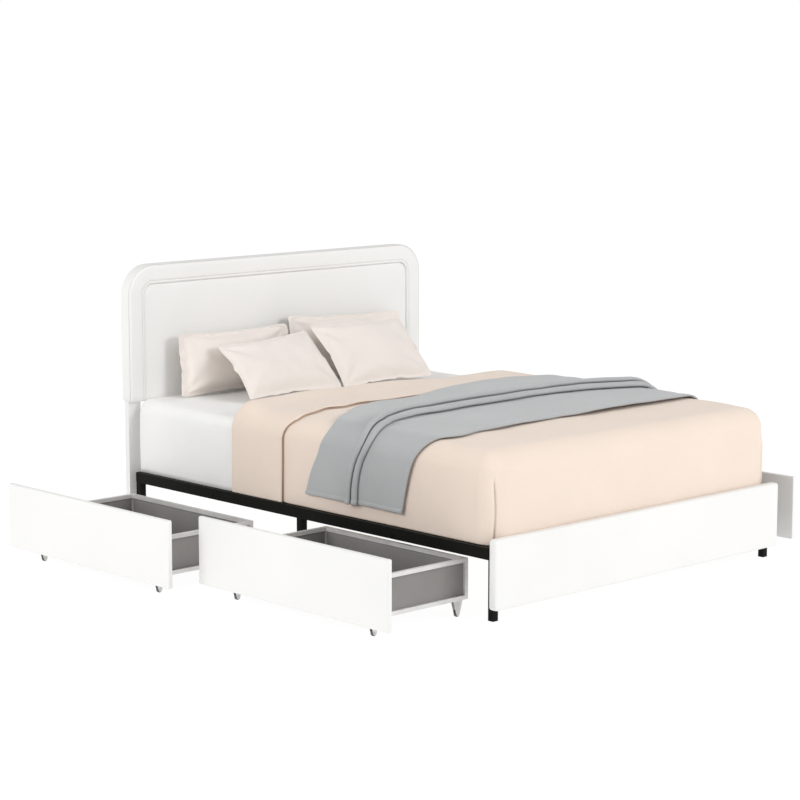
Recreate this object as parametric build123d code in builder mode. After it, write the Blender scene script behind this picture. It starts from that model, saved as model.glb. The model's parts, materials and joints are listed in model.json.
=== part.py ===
from build123d import *
import os

# Platform bed for a 60 x 80 inch mattress, with four rolling storage drawers.
# X runs across the bed, Y from foot to head, Z up. The origin is on the floor, under the middle
# support leg. All lengths are in millimetres.

# ---------------------------------------------------------------- driving dimensions
FLOOR_GAP = 45.0  # underside of the footboard and of the drawer fronts
FACE_TOP = 300.0  # top of the footboard and of the drawer fronts
FOOT_FACE = -1045.0  # front face of the footboard
HEAD_FACE = 1025.0  # front face of the headboard

FOOTBOARD_WIDTH = 1600.0
FOOTBOARD_DEPTH = 32.0
HEADBOARD_WIDTH = 1645.0
HEADBOARD_TOP = 1120.0
HEADBOARD_BOTTOM = 558.0
HEADBOARD_DEPTH = 55.0
HEADBOARD_CORNER = 125.0
BORDER_WIDTH = 80.0
POST_WIDTH = 60.0
POST_INSET = 10.0

RAIL_OUTER = 803.0
RAIL_THICK = 25.0
RAIL_TOP = 268.0
RAIL_BOTTOM = 226.0
LEG = 25.0
SIDE_LEG = 28.0
TUBE_WALL = 1.5
SLAT_TOP = 262.0
SLAT_THICK = 14.0
SLAT_WIDTH = 60.0
SLAT_COUNT = 13
CAP_THICK = 5.0
LEDGE_THICK = 3.0
CENTRE_RAIL_WIDTH = 40.0
CENTRE_RAIL_HEIGHT = 30.0
BRACE_SPACING = 519.0  # the cross bars and outer centre legs, either side of the middle

MATTRESS_WIDTH = 1520.0
MATTRESS_LENGTH = 2018.0
MATTRESS_TOP = 560.0
DUVET_SIDE = 20.0
DUVET_LOFT = 42.0
DUVET_HEAD = 425.0  # the duvet's turned edge, short of the pillows
DUVET_HEM = 272.0
THROW_THICK = 7.0
THROW_HEM = 325.0
THROW_FOOT = -640.0
THROW_HEAD = 60.0

FRONT_THICK = 18.0
FRONT_LENGTH = 1022.0
FRONT_INNER = 804.0  # inner face of a closed drawer front
BOX_REAR = 310.0  # back of a closed drawer
BOX_LENGTH = 760.0
BOX_BOTTOM = 60.0
BOX_TOP = 210.0
FRAME_TUBE = 15.0
FRAME_WALL = 1.2
LINER_THICK = 2.0
WHEEL_RADIUS = 11.0
WHEEL_WIDTH = 11.0
AXLE_RADIUS = 2.5
AXLE_CLEARANCE = 0.05
CASTER_FRONT_INSET = 65.0  # front wheel centres, in from the drawer's face
CASTER_REAR_INSET = 45.0  # rear wheel centres, in from the drawer's back
CASTER_END = 12.0  # wheel centres, in from the ends of the drawer's box

# name: (side of the bed, foot-side end of its front, how far it stands open)
DRAWERS = {
    "left_foot": (-1, -1011.0, 461.0),
    "left_head": (-1, 14.0, 598.0),
    "right_foot": (1, -1011.0, 136.0),
    "right_head": (1, 14.0, 0.0),
}

# name: (width, height, thickness, middle of the lower back edge x and y, lean from flat in degrees)
PILLOWS = {
    "pillow_back_left": (600.0, 262.0, 90.0, -322.0, 962.0, 78.0),
    "pillow_back_right": (650.0, 280.0, 90.0, 312.0, 962.0, 78.0),
    "pillow_front_left": (505.0, 307.0, 90.0, -236.0, 670.0, 38.0),
    "pillow_front_right": (516.0, 330.0, 90.0, 280.0, 664.0, 43.0),
}

# ---------------------------------------------------------------- derived places
FOOT_BACK = FOOT_FACE + FOOTBOARD_DEPTH
HEAD_BACK = HEAD_FACE + HEADBOARD_DEPTH
RAIL_FOOT = FOOT_BACK + 1.0
RAIL_HEAD = HEAD_FACE - 2.0
RAIL_INNER = RAIL_OUTER - RAIL_THICK
SLAT_BOTTOM = SLAT_TOP - SLAT_THICK
LEDGE_TOP = SLAT_BOTTOM - CAP_THICK
MATTRESS_HEAD = HEAD_FACE - 5.0
MATTRESS_FOOT = MATTRESS_HEAD - MATTRESS_LENGTH
DUVET_REST_GAP = 2.0
DUVET_TOP = MATTRESS_TOP + DUVET_REST_GAP + DUVET_LOFT

os.makedirs("parts", exist_ok=True)


def save(builder, name):
    """Labels a finished piece and writes it to its own STEP file."""
    builder.part.label = name
    export_step(builder.part, f"parts/{name}.step")


def block(x0, x1, y0, y1, z0, z1, mode=Mode.ADD):
    """Adds or cuts a box between two corners in the part being built."""
    with Locations(((x0 + x1) / 2, (y0 + y1) / 2, (z0 + z1) / 2)):
        Box(abs(x1 - x0), abs(y1 - y0), abs(z1 - z0), mode=mode)


def post(x, y, side, bottom, top):
    """Adds an upright square tube, open at both ends."""
    inner = side / 2 - TUBE_WALL
    block(x - side / 2, x + side / 2, y - side / 2, y + side / 2, bottom, top)
    block(x - inner, x + inner, y - inner, y + inner, bottom, top, Mode.SUBTRACT)


# ---------------------------------------------------------------- headboard
def arch(inset, bottom):
    """Returns the headboard's outline, moved in by inset and cut off level at the bottom."""
    half = HEADBOARD_WIDTH / 2 - inset
    top = HEADBOARD_TOP - inset
    corner = HEADBOARD_CORNER - inset
    with BuildSketch() as outline:
        with BuildLine():
            FilletPolyline((-half, bottom), (-half, top), (half, top), (half, bottom), radius=corner)
            Line((half, bottom), (-half, bottom))
        make_face()
    return outline.sketch


BOARD_FRONT = HEAD_FACE + 25.0
BOARD_BACK = HEAD_BACK - 2.0
COVER_SKIN = 6.0
POST_OUTER = HEADBOARD_WIDTH / 2 - POST_INSET
POST_CENTRE = POST_OUTER - POST_WIDTH / 2
TONGUE_THICK = 18.0
TONGUE_TOP = HEADBOARD_BOTTOM + 200.0
BOLT_RADIUS = 4.0
BOLT_CLEARANCE = 0.3
POST_BOLT_HEIGHTS = (HEADBOARD_BOTTOM + 60.0, HEADBOARD_BOTTOM + 150.0)
POST_BOLTS = [(side * POST_CENTRE, height) for side in (-1, 1) for height in POST_BOLT_HEIGHTS]
POST_FIT = 0.5  # gap left round the top of each post
BORDER_ROUND = 12.0
PANEL_ROUND = 6.0
PANEL_SET_BACK = 4.0
PANEL_FIT = 0.5


def back_plane(y):
    """A vertical plane across the bed at y, whose local x is X and local y is Z."""
    return Plane(origin=(0, y, 0), x_dir=(1, 0, 0), z_dir=(0, -1, 0))


with BuildPart() as headboard_board:
    with BuildSketch(back_plane(BOARD_BACK)):
        add(arch(COVER_SKIN, HEADBOARD_BOTTOM + COVER_SKIN))
    extrude(amount=BOARD_BACK - BOARD_FRONT)
    for side in (-1, 1):
        x = side * POST_CENTRE
        half = POST_WIDTH / 2 + POST_FIT
        block(
            x - half,
            x + half,
            BOARD_BACK - TONGUE_THICK - POST_FIT,
            BOARD_BACK,
            HEADBOARD_BOTTOM,
            TONGUE_TOP + 2 * POST_FIT,
            Mode.SUBTRACT,
        )
    with Locations(*[back_plane(BOARD_BACK) * Location((x, z, 0)) for x, z in POST_BOLTS]):
        Hole(BOLT_RADIUS + BOLT_CLEARANCE)
save(headboard_board, "headboard_board")

with BuildPart() as headboard_border:
    with BuildSketch(back_plane(BOARD_BACK)):
        add(arch(0.0, HEADBOARD_BOTTOM))
    extrude(amount=BOARD_BACK - HEAD_FACE)
    fillet(headboard_border.faces().sort_by(Axis.Y)[0].edges(), radius=BORDER_ROUND)
    with BuildSketch(back_plane(BOARD_BACK)):
        add(arch(BORDER_WIDTH, HEADBOARD_BOTTOM - 1.0))
    extrude(amount=BOARD_BACK - HEAD_FACE, mode=Mode.SUBTRACT)
    with BuildSketch(back_plane(BOARD_BACK)):
        add(arch(COVER_SKIN, HEADBOARD_BOTTOM + COVER_SKIN))
    extrude(amount=BOARD_BACK - BOARD_FRONT, mode=Mode.SUBTRACT)
    for side in (-1, 1):
        x = side * POST_CENTRE
        half = POST_WIDTH / 2 + POST_FIT
        low = HEADBOARD_BOTTOM - 1.0
        high = HEADBOARD_BOTTOM + 2 * COVER_SKIN
        block(x - half, x + half, BOARD_FRONT + 1.0, BOARD_BACK, low, high, Mode.SUBTRACT)
save(headboard_border, "headboard_border")

with BuildPart() as headboard_panel:
    with BuildSketch(back_plane(BOARD_FRONT)):
        add(arch(BORDER_WIDTH + PANEL_FIT, HEADBOARD_BOTTOM))
    extrude(amount=BOARD_FRONT - HEAD_FACE - PANEL_SET_BACK)
    fillet(headboard_panel.faces().sort_by(Axis.Y)[0].edges(), radius=PANEL_ROUND)
save(headboard_panel, "headboard_panel")

CLOTH_THICK = 1.0
CLOTH_INSET = 14.0
CLOTH_CUTOUT = 12.0  # how far the cloth keeps clear of each post
with BuildPart() as headboard_back:
    with BuildSketch(back_plane(BOARD_BACK + CLOTH_THICK)):
        add(arch(CLOTH_INSET, HEADBOARD_BOTTOM + CLOTH_INSET))
    extrude(amount=CLOTH_THICK)
    for side in (-1, 1):
        x = side * POST_CENTRE
        half = POST_WIDTH / 2 + CLOTH_CUTOUT
        block(
            x - half,
            x + half,
            BOARD_BACK - 1.0,
            BOARD_BACK + 2.0,
            HEADBOARD_BOTTOM,
            TONGUE_TOP + CLOTH_CUTOUT,
            Mode.SUBTRACT,
        )
save(headboard_back, "headboard_back")

POST_FRONT = BOARD_FRONT + 2.0
with BuildPart() as headboard_posts:
    for side in (-1, 1):
        x = side * POST_CENTRE
        half = POST_WIDTH / 2
        block(x - half, x + half, POST_FRONT, BOARD_BACK, 0.0, HEADBOARD_BOTTOM - POST_FIT)
        block(
            x - half,
            x + half,
            BOARD_BACK - TONGUE_THICK,
            BOARD_BACK,
            HEADBOARD_BOTTOM - POST_FIT,
            TONGUE_TOP,
        )
    with Locations(*[back_plane(BOARD_BACK) * Location((x, z, 0)) for x, z in POST_BOLTS]):
        Hole(BOLT_RADIUS + BOLT_CLEARANCE)
save(headboard_posts, "headboard_posts")

# ---------------------------------------------------------------- footboard
FOOT_LEG_X = RAIL_INNER - LEG / 2
FOOT_LEG_Y = RAIL_FOOT + LEG / 2
FOOT_BOLT_HEIGHTS = (90.0, 200.0)
FOOT_BOLTS = [(side * FOOT_LEG_X, height) for side in (-1, 1) for height in FOOT_BOLT_HEIGHTS]
FOOT_SKIN = 5.0
FOOT_BORE_DEPTH = 14.0
FOOT_CORNER = 14.0
FOOT_FRONT_ROUND = 8.0
FOOT_BACK_ROUND = 3.0
FACE_MIDDLE = (FLOOR_GAP + FACE_TOP) / 2
FACE_HEIGHT = FACE_TOP - FLOOR_GAP

with BuildPart() as footboard_board:
    block(
        -FOOTBOARD_WIDTH / 2 + FOOT_SKIN,
        FOOTBOARD_WIDTH / 2 - FOOT_SKIN,
        FOOT_FACE + FOOT_SKIN,
        FOOT_BACK - FOOT_SKIN,
        FLOOR_GAP + FOOT_SKIN,
        FACE_TOP - FOOT_SKIN,
    )
    with Locations(*[back_plane(FOOT_BACK - FOOT_SKIN) * Location((x, z, 0)) for x, z in FOOT_BOLTS]):
        Hole(BOLT_RADIUS + BOLT_CLEARANCE, depth=FOOT_BORE_DEPTH)
save(footboard_board, "footboard_board")

with BuildPart() as footboard_cover:
    with BuildSketch(back_plane(FOOT_BACK)):
        with Locations((0, FACE_MIDDLE)):
            RectangleRounded(FOOTBOARD_WIDTH, FACE_HEIGHT, FOOT_CORNER)
    extrude(amount=FOOTBOARD_DEPTH)
    fillet(footboard_cover.faces().sort_by(Axis.Y)[0].edges(), radius=FOOT_FRONT_ROUND)
    fillet(footboard_cover.faces().sort_by(Axis.Y)[-1].edges(), radius=FOOT_BACK_ROUND)
    block(
        -FOOTBOARD_WIDTH / 2 + FOOT_SKIN,
        FOOTBOARD_WIDTH / 2 - FOOT_SKIN,
        FOOT_FACE + FOOT_SKIN,
        FOOT_BACK - FOOT_SKIN,
        FLOOR_GAP + FOOT_SKIN,
        FACE_TOP - FOOT_SKIN,
        Mode.SUBTRACT,
    )
    with Locations(*[back_plane(FOOT_BACK) * Location((x, z, 0)) for x, z in FOOT_BOLTS]):
        Hole(BOLT_RADIUS + BOLT_CLEARANCE, depth=FOOT_SKIN + 1.0)
save(footboard_cover, "footboard_cover")

# ---------------------------------------------------------------- steel frame
SLOT_WIDTH = 5.0
SLOT_HEIGHT = 20.0
LEDGE_WIDTH = 27.0
LEDGE_END_GAP = 6.0
LEDGE_FOOT = RAIL_FOOT + LEG + LEDGE_END_GAP
LEDGE_HEAD = RAIL_HEAD - LEG - LEDGE_END_GAP


def side_rail(side):
    """Adds a side rail: a tall tube, an angle inside it for the slats, and slots for the braces."""
    outer = side * RAIL_OUTER
    inner = side * RAIL_INNER
    wall = side * TUBE_WALL
    block(inner, outer, RAIL_FOOT, RAIL_HEAD, RAIL_BOTTOM, RAIL_TOP)
    block(
        inner + wall,
        outer - wall,
        RAIL_FOOT,
        RAIL_HEAD,
        RAIL_BOTTOM + TUBE_WALL,
        RAIL_TOP - TUBE_WALL,
        Mode.SUBTRACT,
    )
    ledge_edge = inner - side * LEDGE_WIDTH
    block(inner, ledge_edge, LEDGE_FOOT, LEDGE_HEAD, LEDGE_TOP - LEDGE_THICK, LEDGE_TOP)
    for y in (-BRACE_SPACING, BRACE_SPACING):
        block(
            outer - 2 * wall,
            outer + wall,
            y - SLOT_WIDTH / 2,
            y + SLOT_WIDTH / 2,
            RAIL_BOTTOM + TUBE_WALL,
            RAIL_BOTTOM + SLOT_HEIGHT,
            Mode.SUBTRACT,
        )


with BuildPart() as side_rail_left:
    side_rail(-1)
save(side_rail_left, "side_rail_left")

with BuildPart() as side_rail_right:
    side_rail(1)
save(side_rail_right, "side_rail_right")

CROSS_TOP = SLAT_TOP
CROSS_BOTTOM = RAIL_BOTTOM
with BuildPart() as foot_legs:
    for side in (-1, 1):
        post(side * FOOT_LEG_X, FOOT_LEG_Y, LEG, 0.0, CROSS_TOP)
    with Locations(*[back_plane(RAIL_FOOT + LEG) * Location((x, z, 0)) for x, z in FOOT_BOLTS]):
        Hole(BOLT_RADIUS + BOLT_CLEARANCE)
save(foot_legs, "foot_legs")

SIDE_LEG_X = RAIL_OUTER - 1.0 - SIDE_LEG / 2
HEAD_LEG_Y = RAIL_HEAD - SIDE_LEG / 2
with BuildPart() as side_legs:
    for side in (-1, 1):
        post(side * SIDE_LEG_X, 0.0, SIDE_LEG, 0.0, RAIL_BOTTOM)
        post(side * SIDE_LEG_X, HEAD_LEG_Y, SIDE_LEG, 0.0, RAIL_BOTTOM)
save(side_legs, "side_legs")

BRACE_SIDE = 22.0
BRACE_TOP = LEDGE_TOP - LEDGE_THICK
BRACE_REACH = CENTRE_RAIL_WIDTH / 2


def cross_tube(x0, x1, y0, y1, z0, z1):
    """Adds a square tube lying across the bed, open at both ends."""
    block(x0, x1, y0, y1, z0, z1)
    wall = TUBE_WALL
    block(x0, x1, y0 + wall, y1 - wall, z0 + wall, z1 - wall, Mode.SUBTRACT)


with BuildPart() as cross_bars:
    foot_reach = FOOT_LEG_X - LEG / 2
    cross_tube(-foot_reach, foot_reach, RAIL_FOOT, RAIL_FOOT + LEG, CROSS_BOTTOM, CROSS_TOP)
    cross_tube(-RAIL_INNER, RAIL_INNER, RAIL_HEAD - LEG, RAIL_HEAD, CROSS_BOTTOM, CROSS_TOP)
    for side in (-1, 1):
        for y in (-BRACE_SPACING, BRACE_SPACING):
            cross_tube(
                side * BRACE_REACH,
                side * RAIL_INNER,
                y - BRACE_SIDE / 2,
                y + BRACE_SIDE / 2,
                BRACE_TOP - BRACE_SIDE,
                BRACE_TOP,
            )
save(cross_bars, "cross_bars")

CENTRE_RAIL_TOP = LEDGE_TOP
CENTRE_RAIL_BOTTOM = CENTRE_RAIL_TOP - CENTRE_RAIL_HEIGHT
with BuildPart() as centre_rail:
    half = CENTRE_RAIL_WIDTH / 2
    block(-half, half, RAIL_FOOT + LEG, RAIL_HEAD - LEG, CENTRE_RAIL_BOTTOM, CENTRE_RAIL_TOP)
    block(
        -half + TUBE_WALL,
        half - TUBE_WALL,
        RAIL_FOOT + LEG,
        RAIL_HEAD - LEG,
        CENTRE_RAIL_BOTTOM + TUBE_WALL,
        CENTRE_RAIL_TOP - TUBE_WALL,
        Mode.SUBTRACT,
    )
save(centre_rail, "centre_rail")

FOOT_PAD = 3.0
with BuildPart() as centre_legs:
    for y in (-BRACE_SPACING, 0.0, BRACE_SPACING):
        post(0.0, y, SIDE_LEG, 0.0, CENTRE_RAIL_BOTTOM)
        half = SIDE_LEG / 2
        block(-half, half, y - half, y + half, 0.0, FOOT_PAD)
save(centre_legs, "centre_legs")

# ---------------------------------------------------------------- slats
SLAT_REACH = RAIL_INNER - 4.0
SLAT_END_GAP = 10.0  # from the end of a ledge to its first slat
SLAT_ROUND = 3.0
FIRST_SLAT = LEDGE_FOOT + SLAT_END_GAP + SLAT_WIDTH / 2
LAST_SLAT = LEDGE_HEAD - SLAT_END_GAP - SLAT_WIDTH / 2
SLAT_PITCH = (LAST_SLAT - FIRST_SLAT) / (SLAT_COUNT - 1)
SLAT_PLACES = [FIRST_SLAT + i * SLAT_PITCH for i in range(SLAT_COUNT)]
CAP_LENGTH = 24.0
CAP_EDGE = 4.0  # how far the caps stay inside the slat's edges
with BuildPart() as slats:
    for y in SLAT_PLACES:
        block(
            -SLAT_REACH,
            SLAT_REACH,
            y - SLAT_WIDTH / 2,
            y + SLAT_WIDTH / 2,
            SLAT_BOTTOM,
            SLAT_TOP,
        )
    fillet(slats.edges().filter_by(Axis.X), radius=SLAT_ROUND)
save(slats, "slats")

with BuildPart() as slat_caps:
    for y in SLAT_PLACES:
        for x in (-SLAT_REACH + CAP_LENGTH / 2, 0.0, SLAT_REACH - CAP_LENGTH / 2):
            block(
                x - CAP_LENGTH / 2,
                x + CAP_LENGTH / 2,
                y - SLAT_WIDTH / 2 + CAP_EDGE,
                y + SLAT_WIDTH / 2 - CAP_EDGE,
                LEDGE_TOP,
                SLAT_BOTTOM,
            )
save(slat_caps, "slat_caps")

# ---------------------------------------------------------------- bolts
HEAD_RADIUS = 7.5
HEAD_HEIGHT = 4.0


def bolt(x, face, z, reach):
    """Adds a round-headed bolt whose head sits on a face that looks to the head of the bed."""
    with Locations(back_plane(face) * Location((x, z, 0))):
        Cylinder(HEAD_RADIUS, HEAD_HEIGHT, align=(Align.CENTER, Align.CENTER, Align.MAX))
        Cylinder(BOLT_RADIUS, reach, align=(Align.CENTER, Align.CENTER, Align.MIN))


with BuildPart() as frame_bolts:
    for x, z in FOOT_BOLTS:
        bolt(x, RAIL_FOOT + LEG, z, LEG + FOOT_SKIN + FOOT_BORE_DEPTH - 2.0)
    for x, z in POST_BOLTS:
        bolt(x, BOARD_BACK, z, BOARD_BACK - BOARD_FRONT - 1.0)
save(frame_bolts, "frame_bolts")

# ---------------------------------------------------------------- bedding
MATTRESS_CORNER = 60.0
MATTRESS_ROUND = 25.0
with BuildPart() as mattress:
    half = MATTRESS_WIDTH / 2
    block(-half, half, MATTRESS_FOOT, MATTRESS_HEAD, SLAT_TOP, MATTRESS_TOP)
    fillet(mattress.edges().filter_by(Axis.Z), radius=MATTRESS_CORNER)
    fillet(mattress.faces().sort_by(Axis.Z)[-1].edges(), radius=MATTRESS_ROUND)
save(mattress, "mattress")

DUVET_GAP = 3.0
DUVET_ROUND = 40.0
DUVET_REST = MATTRESS_TOP + DUVET_REST_GAP
with BuildPart() as duvet:
    half = MATTRESS_WIDTH / 2 + DUVET_GAP
    foot = MATTRESS_FOOT - 1.0
    outer_foot = FOOT_BACK + 1.5
    block(-half - DUVET_SIDE, half + DUVET_SIDE, outer_foot, DUVET_HEAD, DUVET_HEM, DUVET_TOP)
    fillet(duvet.faces().sort_by(Axis.Z)[-1].edges().filter_by(Axis.Y), radius=DUVET_ROUND)
    block(-half, half, foot, DUVET_HEAD + 1.0, DUVET_HEM - 1.0, DUVET_REST, Mode.SUBTRACT)
save(duvet, "duvet")

THROW_GAP = 1.0
THROW_ROUND = 38.0
THROW_INNER_ROUND = 32.0
THROW_TURN = 40.0  # depth of the part that turns over the duvet's edge
with BuildPart() as throw:
    half = MATTRESS_WIDTH / 2 + DUVET_GAP + DUVET_SIDE + THROW_GAP
    top = DUVET_TOP + THROW_GAP
    thick = THROW_THICK
    block(-half - thick, half + thick, THROW_FOOT, THROW_HEAD, THROW_HEM, top + thick)
    fillet(throw.edges().filter_by(Axis.Y).sort_by(Axis.Z)[-2:], radius=THROW_ROUND)
    block(-half, half, THROW_FOOT, THROW_HEAD, THROW_HEM, top - THROW_TURN, Mode.SUBTRACT)
    with BuildSketch(Plane.XZ.offset(-THROW_HEAD)):
        with Locations((0, top - THROW_TURN)):
            RectangleRounded(2 * half, 2 * THROW_TURN, THROW_INNER_ROUND)
    extrude(amount=THROW_HEAD - THROW_FOOT, mode=Mode.SUBTRACT)
save(throw, "throw")

PILLOW_REST = MATTRESS_TOP + 3.0
PILLOW_CORNER = 45.0
PILLOW_ROUND = 38.0
for name, (width, height, depth, x, y, lean) in PILLOWS.items():
    seat = Plane(Location((x, y, PILLOW_REST), (lean, 0, 0)))
    with BuildPart() as pillow:
        with BuildSketch(seat):
            with Locations((0, height / 2)):
                RectangleRounded(width, height, PILLOW_CORNER)
        extrude(amount=depth)
        fillet(pillow.faces().sort_by(SortBy.AREA)[-2:].edges(), radius=PILLOW_ROUND)
    save(pillow, name)

# ---------------------------------------------------------------- storage drawers
BOARD_SKIN = 2.5
BRACKET_TOP_WIDTH = 45.0
BRACKET_TIP = 8.0
BRACKET_THICK = 1.5
WHEEL_SIDE_GAP = 0.6
RIVET_HEAD = 4.0
RIVET_HEIGHT = 1.2
LINER_FLOOR = 4.0
FRONT_CORNER = 6.0
FRONT_ROUND = 3.0
WHEEL_ROUND = 2.0


def drawer_frame_tubes(rear, front, foot, head, skin, mode):
    """Adds or cuts the twelve bars of a welded box frame, each moved in by skin all round."""
    low, high = sorted((rear, front))
    low += skin
    high -= skin
    foot += skin
    head -= skin
    bottom = BOX_BOTTOM + skin
    top = BOX_TOP - skin
    tube = FRAME_TUBE - 2 * skin
    for z in (bottom, top - tube):
        for y in (foot, head - tube):
            block(low, high, y, y + tube, z, z + tube, mode)
        for x in (low, high - tube):
            block(x, x + tube, foot, head, z, z + tube, mode)
    for x in (low, high - tube):
        for y in (foot, head - tube):
            block(x, x + tube, y, y + tube, bottom, top, mode)


def cheek():
    """Returns the tapered side of a caster fork, upright, with the axle at its round tip."""
    half = BRACKET_TOP_WIDTH / 2
    tip = BRACKET_TIP
    with BuildSketch() as outline:
        with BuildLine():
            Polyline((tip, WHEEL_RADIUS), (half, BOX_BOTTOM), (-half, BOX_BOTTOM), (-tip, WHEEL_RADIUS))
            ThreePointArc((-tip, WHEEL_RADIUS), (0, WHEEL_RADIUS - tip), (tip, WHEEL_RADIUS))
        make_face()
    return outline.sketch


def caster_bracket(x, y):
    """Adds a folded caster fork with its axle riveted across it."""
    gap = WHEEL_WIDTH / 2 + WHEEL_SIDE_GAP
    reach = gap + BRACKET_THICK
    half = BRACKET_TOP_WIDTH / 2
    extrude(back_plane(y + reach) * Location((x, 0, 0)) * cheek(), amount=BRACKET_THICK)
    extrude(back_plane(y - gap) * Location((x, 0, 0)) * cheek(), amount=BRACKET_THICK)
    block(x - half, x + half, y - reach, y + reach, BOX_BOTTOM - BRACKET_THICK, BOX_BOTTOM)
    with Locations(back_plane(y) * Location((x, WHEEL_RADIUS, 0))):
        Cylinder(AXLE_RADIUS, 2 * reach)
    for plane_y in (y - reach - RIVET_HEIGHT / 2, y + reach + RIVET_HEIGHT / 2):
        with Locations(back_plane(plane_y) * Location((x, WHEEL_RADIUS, 0))):
            Cylinder(RIVET_HEAD, RIVET_HEIGHT)


for drawer, (side, foot_end, opening) in DRAWERS.items():
    inner_face = side * (FRONT_INNER + opening)
    outer_face = inner_face + side * FRONT_THICK
    rear = side * (BOX_REAR + opening)
    head_end = foot_end + FRONT_LENGTH
    box_foot = (foot_end + head_end - BOX_LENGTH) / 2
    box_head = box_foot + BOX_LENGTH
    face_x = sorted((inner_face, outer_face))

    with BuildPart() as front_board:
        block(
            face_x[0] + BOARD_SKIN,
            face_x[1] - BOARD_SKIN,
            foot_end + BOARD_SKIN,
            head_end - BOARD_SKIN,
            FLOOR_GAP + BOARD_SKIN,
            FACE_TOP - BOARD_SKIN,
        )
    save(front_board, f"{drawer}_front_board")

    with BuildPart() as front_cover:
        with BuildSketch(Plane.YZ.offset(face_x[0])):
            with Locations(((foot_end + head_end) / 2, FACE_MIDDLE)):
                RectangleRounded(FRONT_LENGTH, FACE_HEIGHT, FRONT_CORNER)
        extrude(amount=FRONT_THICK)
        broad = front_cover.faces().filter_by(Axis.X).sort_by(SortBy.AREA)[-2:]
        fillet(broad.edges(), radius=FRONT_ROUND)
        block(
            face_x[0] + BOARD_SKIN,
            face_x[1] - BOARD_SKIN,
            foot_end + BOARD_SKIN,
            head_end - BOARD_SKIN,
            FLOOR_GAP + BOARD_SKIN,
            FACE_TOP - BOARD_SKIN,
            Mode.SUBTRACT,
        )
    save(front_cover, f"{drawer}_front_cover")

    with BuildPart() as frame:
        drawer_frame_tubes(rear, inner_face, box_foot, box_head, 0.0, Mode.ADD)
        drawer_frame_tubes(rear, inner_face, box_foot, box_head, FRAME_WALL, Mode.SUBTRACT)
    save(frame, f"{drawer}_frame")

    with BuildPart() as liner:
        low, high = sorted((rear + side * FRAME_TUBE, inner_face - side * FRAME_TUBE))
        foot = box_foot + FRAME_TUBE
        head = box_head - FRAME_TUBE
        block(low, high, foot, head, BOX_BOTTOM, BOX_TOP)
        thick = LINER_THICK
        block(
            low + thick,
            high - thick,
            foot + thick,
            head - thick,
            BOX_BOTTOM + LINER_FLOOR,
            BOX_TOP,
            Mode.SUBTRACT,
        )
    save(liner, f"{drawer}_liner")

    wheel_xs = {
        "front": outer_face - side * CASTER_FRONT_INSET,
        "rear": rear + side * CASTER_REAR_INSET,
    }
    wheel_ys = {"foot": box_foot + CASTER_END, "head": box_head - CASTER_END}
    with BuildPart() as casters:
        for x in wheel_xs.values():
            for y in wheel_ys.values():
                caster_bracket(x, y)
    save(casters, f"{drawer}_casters")

    for row, x in wheel_xs.items():
        for end, y in wheel_ys.items():
            with BuildPart() as wheel:
                half = WHEEL_WIDTH / 2
                with BuildSketch(Plane.XY.offset(WHEEL_RADIUS).move(Location((x, y, 0)))):
                    with BuildLine():
                        bore = AXLE_RADIUS + AXLE_CLEARANCE
                        FilletPolyline(
                            (bore, -half),
                            (WHEEL_RADIUS, -half),
                            (WHEEL_RADIUS, half),
                            (bore, half),
                            radius=WHEEL_ROUND,
                        )
                        Line((bore, half), (bore, -half))
                    make_face()
                revolve(axis=Axis((x, y, WHEEL_RADIUS), (0, 1, 0)))
            save(wheel, f"{drawer}_wheel_{row}_{end}")
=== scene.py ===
import json
import math

import bpy
import numpy as np
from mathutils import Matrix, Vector, noise


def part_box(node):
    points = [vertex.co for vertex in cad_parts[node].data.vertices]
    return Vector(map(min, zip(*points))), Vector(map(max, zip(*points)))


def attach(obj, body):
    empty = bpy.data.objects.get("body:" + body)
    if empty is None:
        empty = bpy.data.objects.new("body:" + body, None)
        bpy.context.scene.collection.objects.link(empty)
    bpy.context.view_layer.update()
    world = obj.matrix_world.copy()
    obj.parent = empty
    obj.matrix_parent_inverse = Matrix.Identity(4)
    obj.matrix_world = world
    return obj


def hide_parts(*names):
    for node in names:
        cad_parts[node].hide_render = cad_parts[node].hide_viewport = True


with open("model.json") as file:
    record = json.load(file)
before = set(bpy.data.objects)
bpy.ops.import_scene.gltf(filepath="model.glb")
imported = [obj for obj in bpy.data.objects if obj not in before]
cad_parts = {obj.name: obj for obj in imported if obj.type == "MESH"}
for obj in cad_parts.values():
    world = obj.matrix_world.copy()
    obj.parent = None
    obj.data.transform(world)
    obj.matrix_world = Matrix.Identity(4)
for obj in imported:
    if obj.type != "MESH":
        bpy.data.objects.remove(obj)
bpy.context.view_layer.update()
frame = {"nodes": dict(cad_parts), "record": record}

DRAWERS = ("left_foot", "left_head", "right_foot", "right_head")
BACKDROP_LIGHT, BACKDROP_SEEN = 0.66, 1.0  # the backdrop's strength as a light, and as the camera sees it
CAMERA = {"place": (-6.5628, -6.6516, 2.0217), "pitch": 8.6631, "yaw": 43.4019, "lens": 105.757}
LAMPS = {  # place, what it is aimed at, width and height, watts
    "key": ((2.5, -10.5, 4.5), (0, 0.5, 0.5), (4.5, 3.0), 406),
    "fill": ((-7.0, 0.5, 3.0), (0, 0, 0.4), (3.5, 2.5), 158),
    "top": ((0.0, -2.2, 3.6), (0, 1.0, 0.8), (2.0, 2.0), 15),
}
FLOOR_HALF = 40.0
PAD_STEP = 0.02  # grid of the leather pads


# ---- camera, floor, light
def new_mesh(name, verts, faces):
    mesh = bpy.data.meshes.new(name)
    mesh.from_pydata([tuple(map(float, v)) for v in verts], [], [tuple(map(int, f)) for f in faces])
    return mesh


def new_object(name, data):
    obj = bpy.data.objects.new(name, data)
    bpy.context.scene.collection.objects.link(obj)
    return obj


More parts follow.
